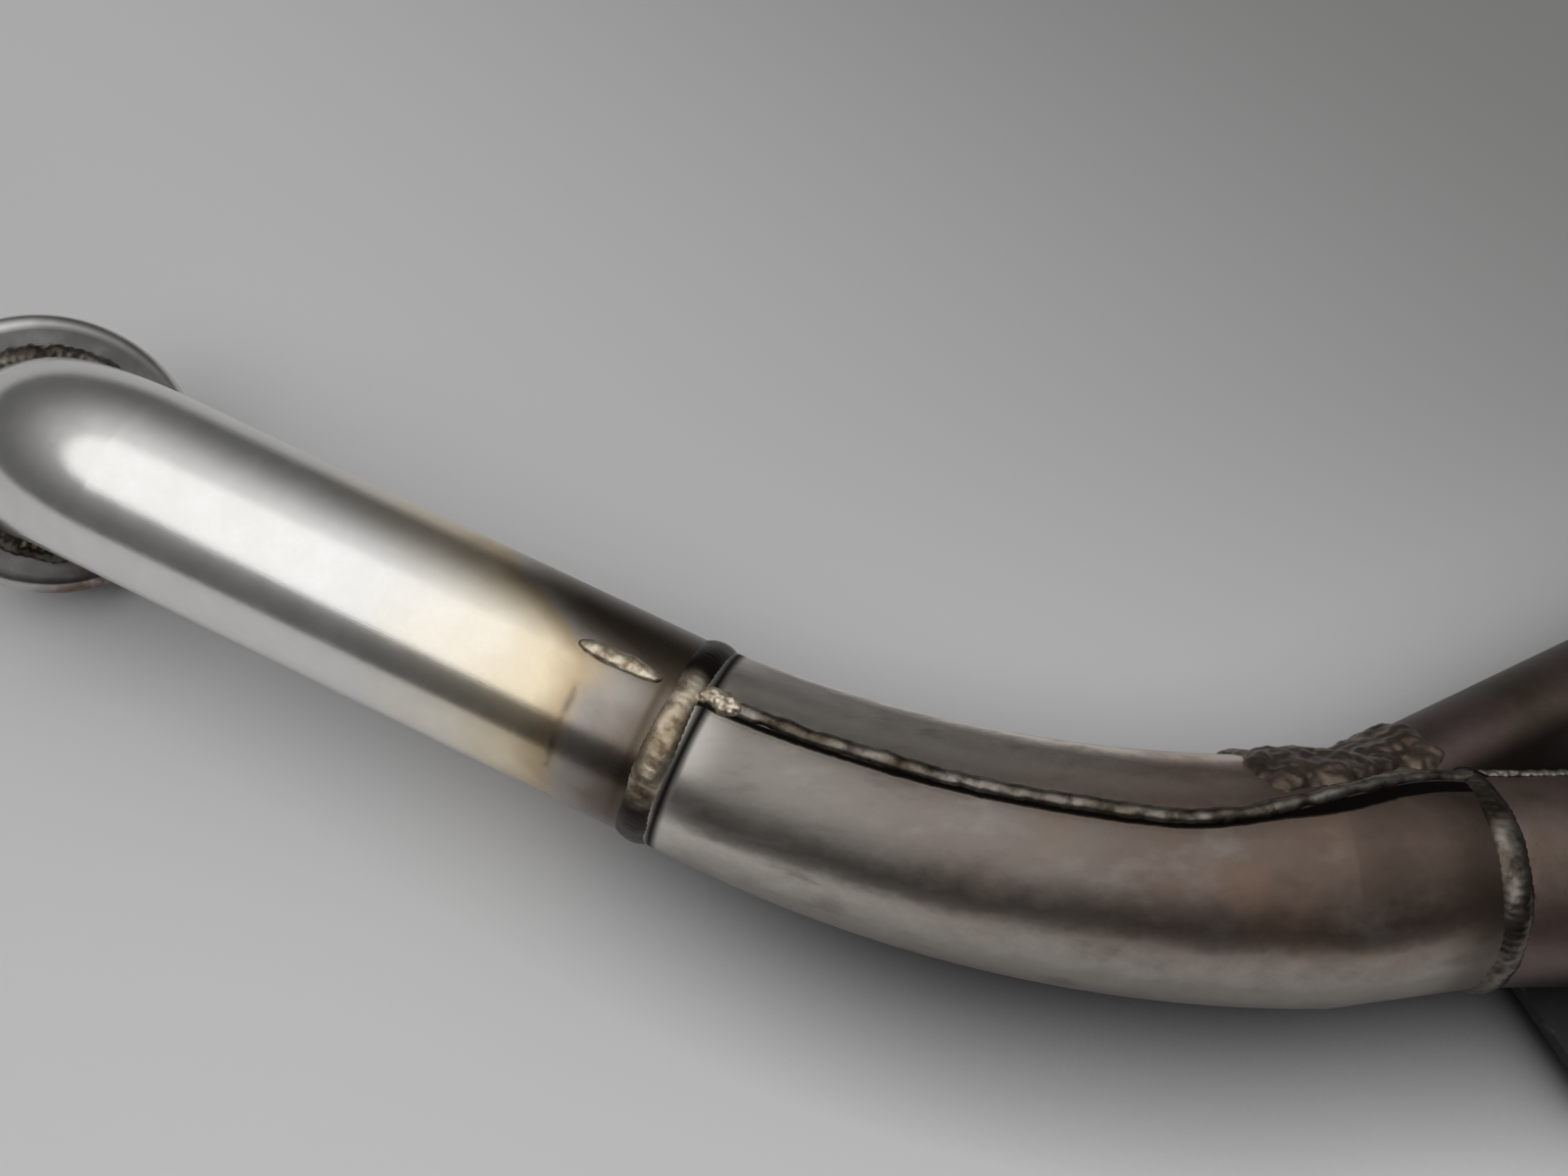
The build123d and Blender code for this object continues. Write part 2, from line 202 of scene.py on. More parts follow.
def paint(colour):
    """Three numbers become a colour with its alpha, and a link stays a link."""
    return colour if isinstance(colour, Signal) else (*colour, 1.0)


print("shader sums ready")

# %% [markdown]
# The patterns are read at the part's own coordinates, in metres. Two measures are used again and
# again: the distance along a heading from a point, and the distance from a tube's axis.

# %% Measures
def place_of(start):
    return start.node("ShaderNodeTexCoord", outlet="Object")


def along(place, point, heading):
    """Metres from the point, measured along the heading."""
    return place.vector("SUBTRACT", point).vector("DOT_PRODUCT", heading, "Value")


def from_axis(place, point, heading):
    """Metres from the line through the point."""
    across = place.vector("SUBTRACT", point).vector("CROSS_PRODUCT", heading)
    return across.vector("LENGTH", outlet="Value")


print("measures ready")

# %% [markdown]
# Noise gives the patterns that no one drew. A cloud is the same in all directions. Streaks are
# noise read at coordinates that are stretched along a tube, so its lumps become fine lines.

# %% Noises
def cloud(place, size, detail=3.0, roughness=0.55, distortion=0.0):
    """Noise whose lumps are about that many millimetres across."""
    return place.node("ShaderNodeTexNoise", i0=place, Scale=1 / (size * MM), Detail=detail,
                      Roughness=roughness, Distortion=distortion)


def streaks(place, point, heading, around=40.0, lengthwise=30.0, detail=4.0):
    """Fine lines that run along a tube: so many round it, each so many millimetres long."""
    side = heading.cross(UP).normalized()
    top = side.cross(heading).normalized()
    run = along(place, point, heading) / (lengthwise * MM)
    angle = along(place, point, side).sum("ARCTAN2", along(place, point, top))
    stretched = place.node("ShaderNodeCombineXYZ", X=run, Y=angle * around, Z=0.0)
    return place.node("ShaderNodeTexNoise", i0=stretched, Scale=1.0, Detail=detail, Roughness=0.6)


print("noises ready")

# %% [markdown]
# A finish is made from a function of the start signal, which returns a shader. On all but the
# table, relief goes through a Bump node, with its depth in metres.

# %% From a function to a material
def finish(name, make):
    material = bpy.data.materials.new(name)
    material.use_nodes = True
    tree = material.node_tree
    tree.nodes.clear()
    shader = make(Signal(tree))
    outlet = tree.nodes.new("ShaderNodeOutputMaterial")
    tree.links.new(shader.socket, outlet.inputs["Surface"])
    print("finish:", name, "nodes:", len(tree.nodes))
    return material


def metal(colour, roughness, relief, depth, metallic=1.0):
    normal = colour.node("ShaderNodeBump", Strength=1.0, Distance=depth, Height=relief)
    return colour.node("ShaderNodeBsdfPrincipled", Base_Color=colour, Roughness=roughness,
                       Metallic=metallic, Normal=normal)


PLAIN = (1.0, 1.0, 1.0)
BLACK = (0.0, 0.0, 0.0)
SOOT = (0.045, 0.040, 0.036)

# %% [markdown]
# ## The finishes
#
# The inlet pipe was polished and then got hot. Stainless steel takes colours from heat: straw
# first, then gold, brown and a blue grey close to the weld. They are thin, so they tint the
# metal's reflection and hide nothing. The polish itself is not a mirror: a wheel left fine lines
# round the pipe, and handling left small marks. The heat went farther along the pipe's rear side.

# %% Polished steel of the inlet pipe
HEAT_REACH = 60 * MM
HEAT_WANDER = 16 * MM
REAR_HEAT_LEAD = 27 * MM
SCALE_MARK_AT = 17.5 * MM
WELD_TOE_SHADE_AT = 4.2 * MM
HEAT_COLOURS = (
    (0.00, (0.10, 0.078, 0.060)),
    (0.12, (0.20, 0.165, 0.135)),
    (0.22, (0.36, 0.33, 0.30)),
    (0.30, (0.55, 0.43, 0.28)),
    (0.42, (0.85, 0.73, 0.53)),
    (0.62, (0.94, 0.87, 0.74)),
    (0.88, (0.90, 0.87, 0.81)),
    (1.00, (0.90, 0.89, 0.87)),
)


def polished_pipe(start):
    place = place_of(start)
    run = along(place, mouth, inlet_heading)
    drift = (cloud(place, 18, detail=3, distortion=0.5) - 0.5) * HEAT_WANDER
    rear_side = along(place, mouth, rearward).step(-0.001, 0.014)
    heat_run = run + drift - rear_side * REAR_HEAT_LEAD
    mottle = cloud(place, 7, detail=6, roughness=0.65).step(0.35, 0.75)
    handled = mottle.mix((0.93, 0.93, 0.925), PLAIN)
    heat = (heat_run / HEAT_REACH).ramp(*HEAT_COLOURS).times(handled)
    mark = run.near(SCALE_MARK_AT, 0.0012) * cloud(place, 9, detail=4).step(0.45, 0.6)
    # Painted shade: a dark line round the pipe at the ring weld's toe, where the crease beside the
    # bead lies.
    edge = run.near(WELD_TOE_SHADE_AT, 0.0014)
    steel = (mark * 0.55).largest(edge * 0.8).mix(heat, (0.10, 0.075, 0.05))
    inside = from_axis(place, port_face, port_heading).step(0.0186, 0.0180)
    soot = inside * along(place, port_face, port_heading * -1).step(0.024, 0.012)
    fine = streaks(place, mouth, inlet_heading, around=26, lengthwise=1.1)
    lines = streaks(place, mouth, inlet_heading, around=70, lengthwise=16)
    roughness = 0.16 + mottle * 0.04 + (fine - 0.5) * 0.10
    roughness = roughness + heat_run.step(0.03, 0.004) * 0.08 + soot * 0.4
    relief = fine * 0.5 + lines * 0.5 + cloud(place, 2.2, detail=3) * 0.3
    return metal(soot.mix(steel, SOOT), roughness, relief, 0.012 * MM)


polished_steel = finish("polished_steel", polished_pipe)

# %% [markdown]
# The port flange is the same steel, turned on a lathe, so its lines run round its own axis. A
# noise of one dimension, read at the distance from that axis, gives such rings. The flange is
# brown in patches towards its lower edge, and its bore is sooty.

# %% Turned steel of the port flange
LATHE_LINES_PER_METRE = 2500.0


def turned_flange(start):
    place = place_of(start)
    out = from_axis(place, port_face, port_heading)
    rings = place.node("ShaderNodeTexNoise", {"noise_dimensions": "1D"},
                       i1=out * LATHE_LINES_PER_METRE, Scale=1.0, Detail=2.0)
    mottle = cloud(place, 9, detail=5).step(0.35, 0.7)
    under = along(place, port_face, UP).step(-0.004, -0.012)
    # Brown in patches on the lower part of the flange.
    lower_brown = (under * cloud(place, 6).step(0.35, 0.6)).smallest(0.9)
    steel = lower_brown.mix(mottle.mix((0.50, 0.49, 0.475), (0.72, 0.71, 0.69)), (0.17, 0.085, 0.05))
    soot = out.step(0.0187, 0.0181)
    roughness = 0.20 + mottle * 0.08 + soot * 0.4
    return metal(soot.mix(steel, SOOT), roughness, rings, 0.006 * MM)


flange_steel = finish("flange_steel", turned_flange)

# %% [markdown]
# Much of the collector's look follows its long seam. The seam's place can be worked out from X
# alone: an arc, then a straight. The arc's plane leans a little, so from above the arc looks
# squashed. The seam lies a few millimetres to the rear of the middle, and steps farther aside to
# pass in front of the rear branch. Shader and bead need the same curve, so it is written twice,
# once for each.

# %% Where the seam runs
PLAN_SQUASH = Vector((0, inlet_heading.y, inlet_heading.z)).normalized().y
SEAM_LEAN = 3.2 * MM
LEAN_FADE = (55 * MM, 90 * MM)
SEAM_SIDE = 14 * MM
SEAM_TURN_END = neck_end.x - 4.3 * MM
SEAM_TURN_START = SEAM_TURN_END - 52 * MM


def beside_seam(place):
    """Metres to the rear of the crown seam, seen from above, and the X coordinate."""
    east = place.part(0)
    swing = ((bend_end.x - east) / BEND_R).largest(0.0)
    bow = (1 - (1 - swing * swing).sum("SQRT")) * (BEND_R * PLAN_SQUASH)
    lean = (1 - east.step(*LEAN_FADE)) * SEAM_LEAN
    drift = east.step(SEAM_TURN_START, SEAM_TURN_END) * SEAM_SIDE + lean
    return place.part(1) - neck_end.y - bow - drift, east


def smooth_share(value, low, high):
    share = min(max((value - low) / (high - low), 0.0), 1.0)
    return share * share * (3 - 2 * share)


def seam_drift(x):
    """Metres from the middle of the collector to its crown seam, towards the rear."""
    lean = (1 - smooth_share(x, *LEAN_FADE)) * SEAM_LEAN
    return smooth_share(x, SEAM_TURN_START, SEAM_TURN_END) * SEAM_SIDE + lean


for x in (-0.03, 0.03, 0.10):
    print("seam at x", x, "lies", round(seam_drift(x) / MM, 1), "mm aside")

# %% [markdown]
# The collector was never polished. Its satin skin has an oxide film: a silvery grey near the
# inlet, and brown to purple towards the hot outlet. Over it lies a painted reflection: a bright
# band on the flank and a dark band between the flank and the crown. These bands follow the height
# over the table, with a ragged edge.

# %% Painted reflection bands on the flank
FLANK_LOW = 18 * MM
FLANK_SPAN = 30 * MM
REFLECTION_BAND_TONES = ((0.07, 0.40), (0.40, 0.46), (0.54, 0.66), (0.64, 0.92), (0.70, 0.45), (0.75, 0.29),
               (0.84, 0.40))


def painted_reflection_bands(height, small, wisps):
    # Painted reflection: light and dark grey bands by height over the table, multiplied into the
    # oxide.
    ragged = height + (small - 0.5) * 0.004 + (wisps - 0.5) * 0.005
    tones = [(place, (painted_light, painted_light, painted_light)) for place, painted_light in REFLECTION_BAND_TONES]
    return ((ragged - FLANK_LOW) / FLANK_SPAN).ramp(*tones).mix(BLACK, (2.25, 2.2, 2.14))


print("tones along the flank:", len(REFLECTION_BAND_TONES))

# %% [markdown]
# In front of the seam's bead the two shells leave a gap, which widens into a hollow near the rear
# branch. A second fine gap runs round the collector's mouth, beside the ring weld. Both are far
# narrower than the bead, so their shade is painted near black by the distance from it.

# %% Painted shade in the gaps beside the welds
HOLLOW_WIDTH = 1.7 * MM


def painted_gap_shade(aside, east, crown, small, from_mouth):
    front = aside * -1.0
    past_neck = east - neck_end.x
    hollow = past_neck.step(-0.042, -0.024) * past_neck.step(0.002, -0.003) * HOLLOW_WIDTH
    far_edge = (front - hollow + (small - 0.5) * 0.0008).step(0.0024, 0.0020)
    beside_bead = front.step(0.0011, 0.0014) * far_edge * crown
    return beside_bead.largest(from_mouth.near(0.0038, 0.0017))


print("hollow opens by", round(HOLLOW_WIDTH / MM, 1), "mm")

# %% [markdown]
# The collector's finish starts from grey and brown, mixed by how hot the place was. Over that go
# pale and dark wisps along the tube, orange bloom, a scorched end, a smoother rim at the mouth with
# a painted highlight, and the brown tinge that every weld leaves beside it.

# %% Oxidised steel of the collector
def oxide_skin(start):
    place = place_of(start)
    height = place.part(2)
    aside, east = beside_seam(place)
    from_mouth = along(place, mouth, inlet_heading * -1)
    crown = height.step(0.030, 0.036)
    large = cloud(place, 30, detail=3, roughness=0.5, distortion=0.4)
    small = cloud(place, 5, detail=6, roughness=0.7)
    wisps = streaks(place, mouth, front_heading, around=5.0, lengthwise=16, detail=6)
    hot = (east + (large - 0.5) * 0.05).step(-0.035, 0.085)
    upper = (height + (large - 0.5) * 0.006).step(0.032, 0.041)
    grey = small.mix((0.27, 0.255, 0.235), (0.40, 0.38, 0.355))
    brown = small.mix((0.185, 0.14, 0.115), (0.265, 0.20, 0.168))
    # Painted reflection: the crown to the rear of the seam is made lighter.
    far_crown_sheen = (aside.step(0.002, 0.007) * crown).mix(PLAIN, (1.75, 1.78, 1.82))
    skin = (hot * (0.18 + upper * 0.82)).mix(grey, brown)
    skin = skin.times(painted_reflection_bands(height, small, wisps)).times(far_crown_sheen)
    orange = cloud(place, 20, detail=3).step(0.52, 0.70) * hot * upper
    scorched = (neck_end.x - east + (large - 0.5) * 0.008).step(0.014, 0.003)
    tinge = aside.near(0.0, 0.0060) * crown * small.step(0.3, 0.6)
    gap_shade = painted_gap_shade(aside, east, crown, small, from_mouth)
    for share, colour in (
        (wisps.step(0.50, 0.72) * 0.35, (0.40, 0.37, 0.34)),
        (wisps.step(0.46, 0.30) * 0.35, (0.13, 0.10, 0.08)),
        (orange * 0.30, (0.34, 0.20, 0.12)),
        (scorched * 0.70, (0.075, 0.055, 0.042)),
        # Painted highlight: a lighter colour near the mouth. The lower roughness there is a real
        # polished rim.
        (from_mouth.step(0.012, 0.003) * 0.5, (0.70, 0.67, 0.62)),
        (tinge * 0.55, (0.10, 0.077, 0.058)),
        # Painted shade: near black in the gaps beside the seam and round the mouth.
        (gap_shade * 0.97, (0.008, 0.007, 0.006)),
    ):
        skin = share.mix(skin, colour)
    roughness = 0.37 + small * 0.12 + hot * 0.03
    roughness = roughness - from_mouth.step(0.014, 0.003) * 0.14 + gap_shade * 0.4
    relief = cloud(place, 0.8, detail=4) * 0.35 + cloud(place, 9, detail=2) * 1.4 - gap_shade * 6.0
    return metal(skin, roughness, relief, 0.05 * MM)


oxidised_steel = finish("oxidised_steel", oxide_skin)

# %% [markdown]
# The branches ran hottest. Their oxide is dark: a purple brown with olive edges, with painted
# light that makes it lighter on top and darker on the low sides. The bores are sooty, and the
# narrow crotch between the two branches is painted near black as its shade.

# %% Burnt steel of the branches
def burnt_skin(start):
    place = place_of(start)
    large = cloud(place, 22, detail=5, roughness=0.6, distortion=0.8)
    small = cloud(place, 4, detail=6, roughness=0.7)
    skin = large.ramp(
        (0.30, (0.13, 0.105, 0.075)),
        (0.48, (0.185, 0.135, 0.125)),
        (0.62, (0.205, 0.155, 0.15)),
        (0.80, (0.26, 0.19, 0.13)),
    ).times(small.mix((0.75, 0.75, 0.75), (1.1, 1.1, 1.1)))
    front_bore = from_axis(place, front_end, front_heading).step(0.0183, 0.0178)
    rear_out = from_axis(place, rear_end, rear_heading)
    crotch_side = rear_heading.cross(UP).normalized()
    # Painted shade: the narrow crotch between the branches is made near black, through the soot
    # mask.
    crotch_shade = along(place, rear_end, crotch_side).step(-0.006, 0.001)
    crotch_shade = crotch_shade * place.part(0).step(0.165, 0.120) * rear_out.step(0.0164, 0.0160)
    soot = front_bore.largest(rear_out.step(0.0152, 0.0147)).largest(crotch_shade * 0.92)
    # Painted light: lighter on top and darker low down, by height over the table.
    painted_light = place.part(2).step(0.022, 0.040).mix((0.42, 0.42, 0.42), (1.45, 1.42, 1.38))
    skin = soot.mix(skin.times(painted_light), (0.007, 0.006, 0.0055))
    relief = cloud(place, 0.8, detail=4) * 0.6 + cloud(place, 6, detail=2)
    return metal(skin, 0.34 + small * 0.16 + soot * 0.3, relief, 0.05 * MM)


burnt_steel = finish("burnt_steel", burnt_skin)

# %% [markdown]
# Weld metal set fast, so it is lumpy at every scale, and it shines on its crests where it was
# wiped and stays dark with scale in its hollows. The ring by the inlet is bronze on its upper side,
# a little in front of the crown, as a painted highlight, and painted shade makes it near black
# elsewhere.

# %% Weld metal
LIT_SIDE_LEAN = math.radians(20)
lit_side = UP * math.cos(LIT_SIDE_LEAN) - rearward * math.sin(LIT_SIDE_LEAN)


def weld_skin(dark, light, seed, bright_side=None):
    """A weld finish between two colours, with painted shade near black away from the bright side,
    if it has one.
    """
    def make(start):
        place = place_of(start)
        moved = place.vector("ADD", (seed, seed, seed))
        lumps = cloud(moved, 3.2, detail=4, roughness=0.6)
        patches = cloud(moved, 11, detail=3).step(0.36, 0.62).mix((0.45, 0.41, 0.36), PLAIN)
        skin = lumps.step(0.30, 0.62).mix(dark, light).times(patches)
        if bright_side:
            # Painted light: bronze on the lit upper side, and painted shade near black elsewhere.
            painted_lit_side = along(place, mouth, bright_side).step(0.0140, 0.0178)
            skin = painted_lit_side.mix((0.030, 0.024, 0.019), skin)
        return metal(skin, 0.42 - lumps * 0.20, cloud(moved, 1.0, detail=4), 0.05 * MM)
    return make


plain_skin = weld_skin((0.085, 0.070, 0.055), (0.31, 0.28, 0.245), 0.3)
scaly_skin = weld_skin((0.065, 0.054, 0.044), (0.22, 0.195, 0.17), 1.1)
bronze_skin = weld_skin((0.30, 0.23, 0.16), (0.86, 0.76, 0.60), 0.7, lit_side)
weld_metal = finish("weld_metal", plain_skin)
scaly_weld = finish("scaly_weld", scaly_skin)
bronze_weld = finish("bronze_weld", bronze_skin)

# %% [markdown]
# The patch by the rear branch is as brown as the branch, with a rougher skin, and its lumps are
# larger. The tab is near black, with lighter spots from a noise, and its shader has no metallic
# share.

# %% Dark weld and black heat paint
def dark_weld_skin(start):
    place = place_of(start)
    lumps = cloud(place, 5.0, detail=5, roughness=0.65)
    skin = lumps.ramp(
        (0.32, (0.075, 0.058, 0.045)),
        (0.50, (0.140, 0.108, 0.086)),
        (0.62, (0.190, 0.145, 0.110)),
        (0.78, (0.290, 0.230, 0.180)),
    )
    return metal(skin, 0.50 - lumps * 0.22, cloud(place, 1.6, detail=5), 0.10 * MM)


def near_black_skin(start):
    place = place_of(start)
    # Near black, with lighter spots from a noise.
    lighter_spots = cloud(place, 5, detail=5).step(0.62, 0.72)
    colour = lighter_spots.mix((0.012, 0.012, 0.012), (0.07, 0.06, 0.055))
    relief = cloud(place, 1.0, detail=4)
    return metal(colour, 0.45 + lighter_spots * 0.15, relief, 0.03 * MM, metallic=0.0)


dark_weld = finish("dark_weld", dark_weld_skin)
black_tab = finish("black_tab", near_black_skin)

# %% [markdown]
# Five pieces keep their mesh from the frame: tubes, flange and tab are true shapes with nothing
# to add. Only their material slots are filled.

# %% Finishes on the frame's own pieces
node_finish = {
    "inlet_pipe": polished_steel,
    "port_flange": flange_steel,
    "front_branch_pipe": burnt_steel,
    "rear_branch_pipe": burnt_steel,
    "mounting_tab": black_tab,
}
for node, material in node_finish.items():
    for slot in frame["nodes"][node].material_slots:
        slot.material = material
    print(node, "->", material.name)

# %% [markdown]
# ## New pieces
#
# The other pieces are modelled here, and each hides the smooth frame piece that it stands for.
# They all need the same few steps: select one object alone, put its place and turn into its mesh,
# and at the end get smooth shading, a finish and the body to move with.

# %% Tools for new pieces
MERGE = 0.001 * MM


def only(piece):
    """Selects that piece and nothing else."""
    if bpy.context.mode != "OBJECT":
        bpy.ops.object.mode_set(mode="OBJECT")
    bpy.ops.object.select_all(action="DESELECT")
    piece.select_set(True)
    bpy.context.view_layer.objects.active = piece


def settle(piece):
    """Puts the object's place and turn into its mesh."""
    only(piece)
    bpy.ops.object.transform_apply(location=True, rotation=True, scale=True)


def merged_copy(node, name):
    """A copy of a frame piece whose faces share their vertices."""
    piece = bpy.data.objects.new(name, frame["nodes"][node].data.copy())
    bpy.context.scene.collection.objects.link(piece)
    only(piece)
    bpy.ops.mesh.customdata_custom_splitnormals_clear()
    bpy.ops.object.mode_set(mode="EDIT")
    bpy.ops.mesh.select_all(action="SELECT")
    bpy.ops.mesh.remove_doubles(threshold=MERGE)
    bpy.ops.object.mode_set(mode="OBJECT")
    return piece


def dress(piece, material, node):
    """Smooth shading, the finish, the body it moves with and the frame piece it stands for."""
    only(piece)
    bpy.ops.object.shade_smooth()
    piece.data.materials.clear()
    piece.data.materials.append(material)
    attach(piece, "root")
    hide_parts(node)
    print(piece.name, "faces:", len(piece.data.polygons))


print("tools ready")

# %% [markdown]
# The collector's two pressed shells came in as separate faces, and bend and neck meet in a faint
# crease that pressed steel wouldn't have. In a copy the shared vertices are merged, so that the
# shading runs on across the crease. An angle keeps the real edges sharp.

# %% Pressed shells
SHARP_FROM = math.radians(35)

for side in ("front", "rear"):
    shell = merged_copy("collector_" + side + "_shell", "pressed_" + side + "_shell")
    dress(shell, oxidised_steel, "collector_" + side + "_shell")
    bpy.ops.object.shade_smooth_by_angle(angle=SHARP_FROM)

# %% [markdown]
# ## Weld beads
#
# A weld bead is a string of small puddles that froze one after the other. A ring weld is made
# from a torus, a seam from a round bar that is laid along a line, and a plug from a ball. Each one
# is sunk in the metal that it joins. Then every vertex is moved a little along its normal: by a
# noise, because no two puddles are alike, and by small waves, because they follow each other.

# %% Lumps and ripples
RIPPLE_BOW = 160


def lump(piece, size, height, seed=0.0):
    """Moves each vertex along its normal by a noise of that size and height, in millimetres."""
    normals = [vertex.normal.copy() for vertex in piece.data.vertices]
    for vertex, normal in zip(piece.data.vertices, normals):
        spot = vertex.co / (size * MM) + Vector((seed, seed, seed))
        vertex.co += normal * (noise.fractal(spot, 0.6, 2.0, 3) * height * MM)
    piece.data.update()


def ripple(piece, measure, pitch, height):
    """The small waves that the puddles leave across a bead, that many millimetres apart."""
    normals = [vertex.normal.copy() for vertex in piece.data.vertices]
    for vertex, normal in zip(piece.data.vertices, normals):
        wave = abs(math.sin(math.pi * measure(vertex.co) / (pitch * MM)))
        vertex.co += normal * (wave * height * MM)
    piece.data.update()


def way_round(centre, heading):
    """A measure of how far round a tube a point lies. It bows, as the edge of a puddle does."""
    side = heading.cross(UP).normalized()
    top = side.cross(heading)

    def measure(point):
        arm = point - centre
        bow = arm.dot(heading) ** 2 * RIPPLE_BOW
        return math.atan2(arm.dot(side), arm.dot(top)) * PIPE_R + bow

    return measure


print("lumps and ripples ready")

# %% [markdown]
# Blender has no weld bead to add, but it has three shapes that are close to one. A torus that is
# stretched along its axis is a ring weld, a curve with a bevel is a bar of any course, and a ball
# can be squashed to a mound by giving each vertex its place along three directions.

# %% Torus, bar and ball
def ring_bead(name, centre, heading, sink, half_width, half_height):
    """A torus round a pipe, wider along it than high. Its middle is sunk below the pipe's skin."""
    bpy.ops.mesh.primitive_torus_add(
        location=centre, rotation=heading.to_track_quat("Z", "Y").to_euler(),
        major_segments=256, minor_segments=28,
        major_radius=PIPE_R - sink * MM, minor_radius=half_height * MM,
    )
    piece = bpy.context.object
    piece.name = name
    piece.scale = (1, 1, half_width / half_height)
    settle(piece)
    return piece


def bar_bead(name, points, radii):
    """A round bar along a line of points, with its own radius at each."""
    line = bpy.data.curves.new(name, "CURVE")
    line.dimensions = "3D"
    spline = line.splines.new("POLY")
    spline.points.add(len(points) - 1)
    for knot, point, radius in zip(spline.points, points, radii):
        knot.co = (*point, 1)
        knot.radius = radius
    line.bevel_depth = 1.0
    line.bevel_resolution = 5
    line.use_fill_caps = True
    piece = bpy.data.objects.new(name, line)
    bpy.context.scene.collection.objects.link(piece)
    only(piece)
    bpy.ops.object.convert(target="MESH")
    return bpy.context.object


def ball_bead(name, centre, heading, normal, length, width, height):
    """A ball squashed to a low mound, in millimetres: its length lies along the heading."""
    bpy.ops.mesh.primitive_ico_sphere_add(subdivisions=5, radius=1)
    piece = bpy.context.object
    piece.name = name
    ahead = heading * (length / 2 * MM)
    aside = normal.cross(heading) * (width / 2 * MM)
    above = normal * (height * MM)
    for vertex in piece.data.vertices:
        u, v, w = vertex.co
        vertex.co = centre + ahead * u + aside * v + above * w
    return piece


print("bead shapes ready")

# %% [markdown]
# The collector's bend is an arc in the plane of the inlet and the front branch. A share from 0 to
# 1 says how far along it a point lies, and upright is the direction to the crown there. The
# collector starts as wide as the inlet pipe, flares, and narrows again along its neck.

# %% Points on the collector
FLARE = 1.6


def bend_point(share):
    start = inlet_heading * -1
    out = (front_heading - start * math.cos(bend_turn)).normalized()
    turn = bend_turn * share
    centre = mouth + start * (BEND_R * math.sin(turn)) + out * (BEND_R * (1 - math.cos(turn)))
    heading = start * math.cos(turn) + out * math.sin(turn)
    return centre, heading


def upright(heading):
    side = heading.cross(UP).normalized()
    return side.cross(heading).normalized()


def bend_radius(share):
    return PIPE_R + (COLLECTOR_R - PIPE_R) * (1 - (1 - share) ** FLARE)


def neck_radius(x):
    share = min(max((x - neck_start.x) / NECK_LENGTH, 0), 1)
    return COLLECTOR_R + (PIPE_R - COLLECTOR_R) * share


def off_axis(point, origin, heading):
    """How far a point lies from a line."""
    arm = point - origin
    return (arm - heading * arm.dot(heading)).length


print("bend turns", round(math.degrees(bend_turn), 1), "degrees")

# %% [markdown]
# Three welds run round a pipe: inlet to collector, inlet to flange, and collector to front
# branch. The last one meets the rear branch, so its faces inside that pipe are deleted.

# %% Ring welds
PORT_WELD_DEPTH = 10.0 * MM
RING_INTO_BRANCH = 1.5 * MM

inlet_ring = ring_bead("inlet_ring_bead", mouth, inlet_heading,
                       sink=1.5, half_width=3.7, half_height=2.2)
lump(inlet_ring, size=11, height=0.25, seed=3)
ripple(inlet_ring, way_round(mouth, inlet_heading), pitch=1.3, height=0.12)
dress(inlet_ring, bronze_weld, "inlet_ring_weld")

port_weld = port_face - port_heading * PORT_WELD_DEPTH
port_ring = ring_bead("port_flange_bead", port_weld, port_heading,
                      sink=-0.3, half_width=3.2, half_height=2.9)
lump(port_ring, size=6, height=0.7, seed=5)
ripple(port_ring, way_round(port_weld, port_heading), pitch=1.6, height=0.3)
dress(port_ring, scaly_weld, "port_flange_weld")

front_ring = ring_bead("front_ring_bead", neck_end, front_heading,
                       sink=1.5, half_width=3.3, half_height=2.3)
lump(front_ring, size=9, height=0.3, seed=11)
ripple(front_ring, way_round(neck_end, front_heading), pitch=1.5, height=0.15)
only(front_ring)
bpy.ops.object.mode_set(mode="EDIT")
bpy.ops.mesh.select_mode(type="FACE")
bpy.ops.mesh.select_all(action="DESELECT")
bpy.ops.object.mode_set(mode="OBJECT")
for face in front_ring.data.polygons:
    face.select = off_axis(face.center, rear_end, rear_heading) < REAR_R - RING_INTO_BRANCH
bpy.ops.object.mode_set(mode="EDIT")
bpy.ops.mesh.delete(type="FACE")
bpy.ops.object.mode_set(mode="OBJECT")
dress(front_ring, scaly_weld, "front_ring_weld")

# %% [markdown]
# The long seam joins the two pressed shells along the crown, and again along the belly. A welder's
# hand wanders, so each point of its line is moved a little sideways, and the bar's radius varies.

# %% The seam's line
SEAM_SINK = 0.35 * MM
SEAM_LEAD = 9.5 * MM
BEND_STEPS = 130
NECK_STEPS = 34
WANDER_LENGTH = 9 * MM


def on_skin(centre, heading, reach, sign, drifts):
    """The seam's point above (sign 1) or below (sign -1) a centre, with its drift to the rear."""
    aside = seam_drift(centre.x) * drifts
    side = UP.cross(heading).normalized()
    return centre + side * aside + upright(heading) * (sign * math.sqrt(reach ** 2 - aside ** 2))


def seam_line(sign, drifts, wander, seed):
    """Points of the seam on the crown (sign 1) or the belly (sign -1)."""
    points = []
    lead = SEAM_LEAD / (BEND_R * bend_turn)
    for step in range(BEND_STEPS):
        share = lead + (1 - lead) * step / BEND_STEPS
        centre, heading = bend_point(share)
        points.append(on_skin(centre, heading, bend_radius(share) - SEAM_SINK, sign, drifts))
    for step in range(NECK_STEPS + 1):
        centre = neck_start.lerp(neck_end, step / NECK_STEPS)
        reach = neck_radius(centre.x) - SEAM_SINK
        points.append(on_skin(centre, front_heading, reach, sign, drifts))
    for point in points:
        sway = noise.noise(Vector((point.x / WANDER_LENGTH, seed, 0)))
        point.y += sway * wander * MM
    return points


